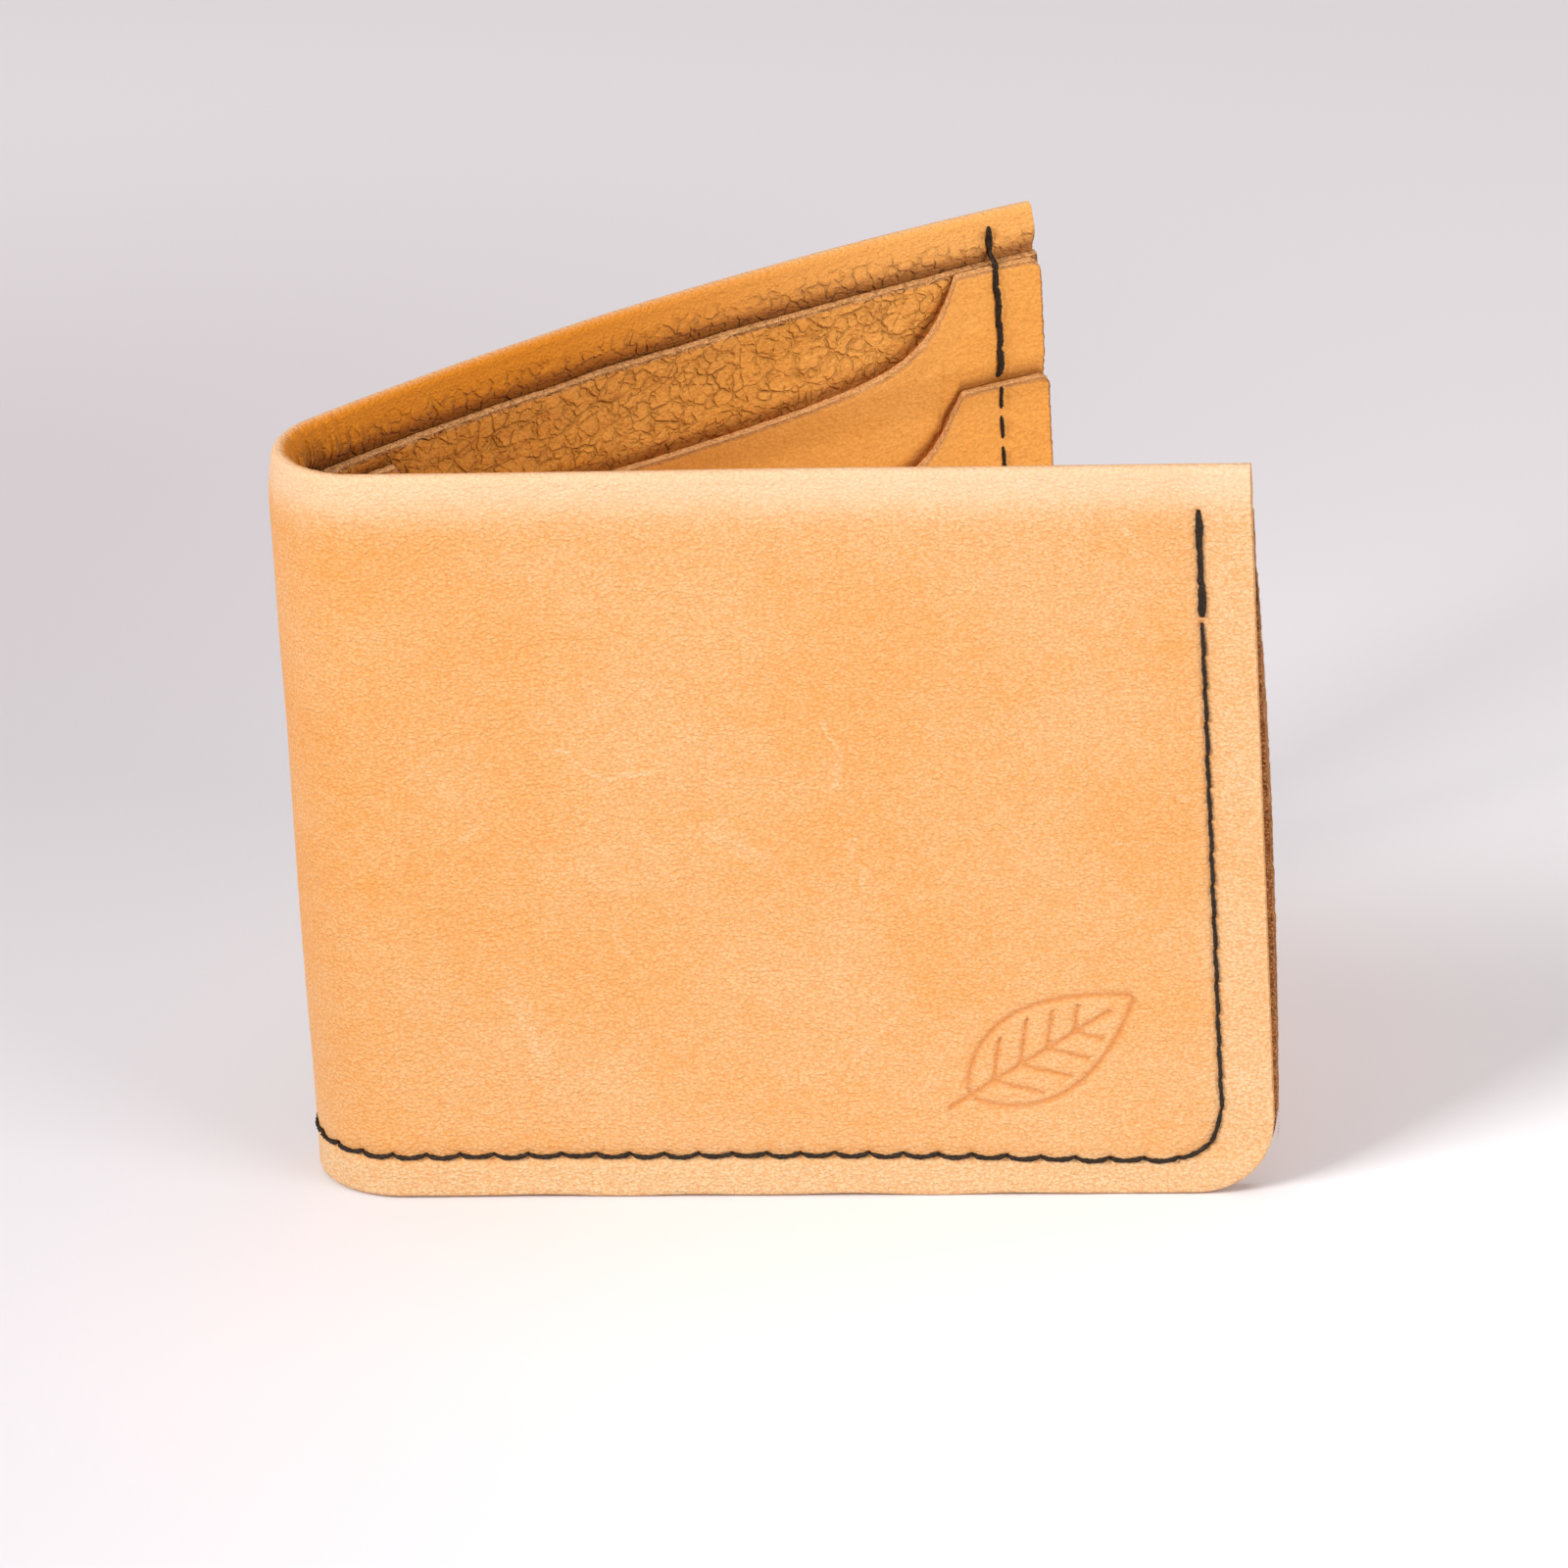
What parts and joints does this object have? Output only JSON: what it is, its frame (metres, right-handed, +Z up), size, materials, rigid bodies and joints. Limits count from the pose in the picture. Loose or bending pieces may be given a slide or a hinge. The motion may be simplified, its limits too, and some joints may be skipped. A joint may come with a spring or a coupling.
{
  "type": "bifold wallet",
  "caption": "Stitched leather bifold wallet, standing half open, with a turned top edge, a full-width bill compartment and scooped card pockets.",
  "frame": {"origin": "on the floor at the middle of the front half's bottom edge, half way through the cover leather", "axes": "+X along the front half from the fold towards its free edge, +Y inward from the front half's outer face, +Z up along the fold"},
  "size_m": [0.1106, 0.0812, 0.089],
  "materials": {
    "cover_leather": "vegetable-tanned, waxed, natural tan with a fine grain and light scuffs",
    "inner_leather": "milled vegetable-tanned leather with a pebbled grain and raw cut edges",
    "waxed_thread": "waxed polyester sewing thread, near black"
  },
  "bodies": {
    "front_half": {"front_cover": "cover_leather", "front_bill_divider": "inner_leather", "front_upper_pocket": "inner_leather", "front_lower_pocket": "inner_leather", "front_outer_seam_thread": "waxed_thread", "front_inner_seam_thread": "waxed_thread", "front_outer_backtack": "waxed_thread", "front_inner_backtack": "waxed_thread", "front_pocket_base_thread": "waxed_thread", "front_pocket_side_thread": "waxed_thread"},
    "spine": {"cover_spine": "cover_leather", "divider_spine": "inner_leather", "spine_outer_seam_thread": "waxed_thread", "spine_inner_seam_thread": "waxed_thread"},
    "back_half": {"back_cover": "cover_leather", "back_bill_divider": "inner_leather", "back_upper_pocket": "inner_leather", "back_lower_pocket": "inner_leather", "back_outer_seam_thread": "waxed_thread", "back_inner_seam_thread": "waxed_thread", "back_outer_backtack": "waxed_thread", "back_inner_backtack": "waxed_thread", "back_pocket_base_thread": "waxed_thread", "back_pocket_side_thread": "waxed_thread"}
  },
  "joints": [
    {"name": "front_fold", "type": "hinge", "parent": "front_half", "child": "spine", "pos_m": [-0.04966, 0.00168, 0], "axis": [0, 0, 1], "range_deg": [-20, 66]},
    {"name": "back_fold", "type": "hinge", "parent": "spine", "child": "back_half", "pos_m": [-0.05427, 0.01203, 0], "axis": [0, 0, 1], "range_deg": [-20, 66]}
  ],
  "couplings": [
    {"joint": "back_fold", "follows": "front_fold", "ratio": 1}
  ]
}
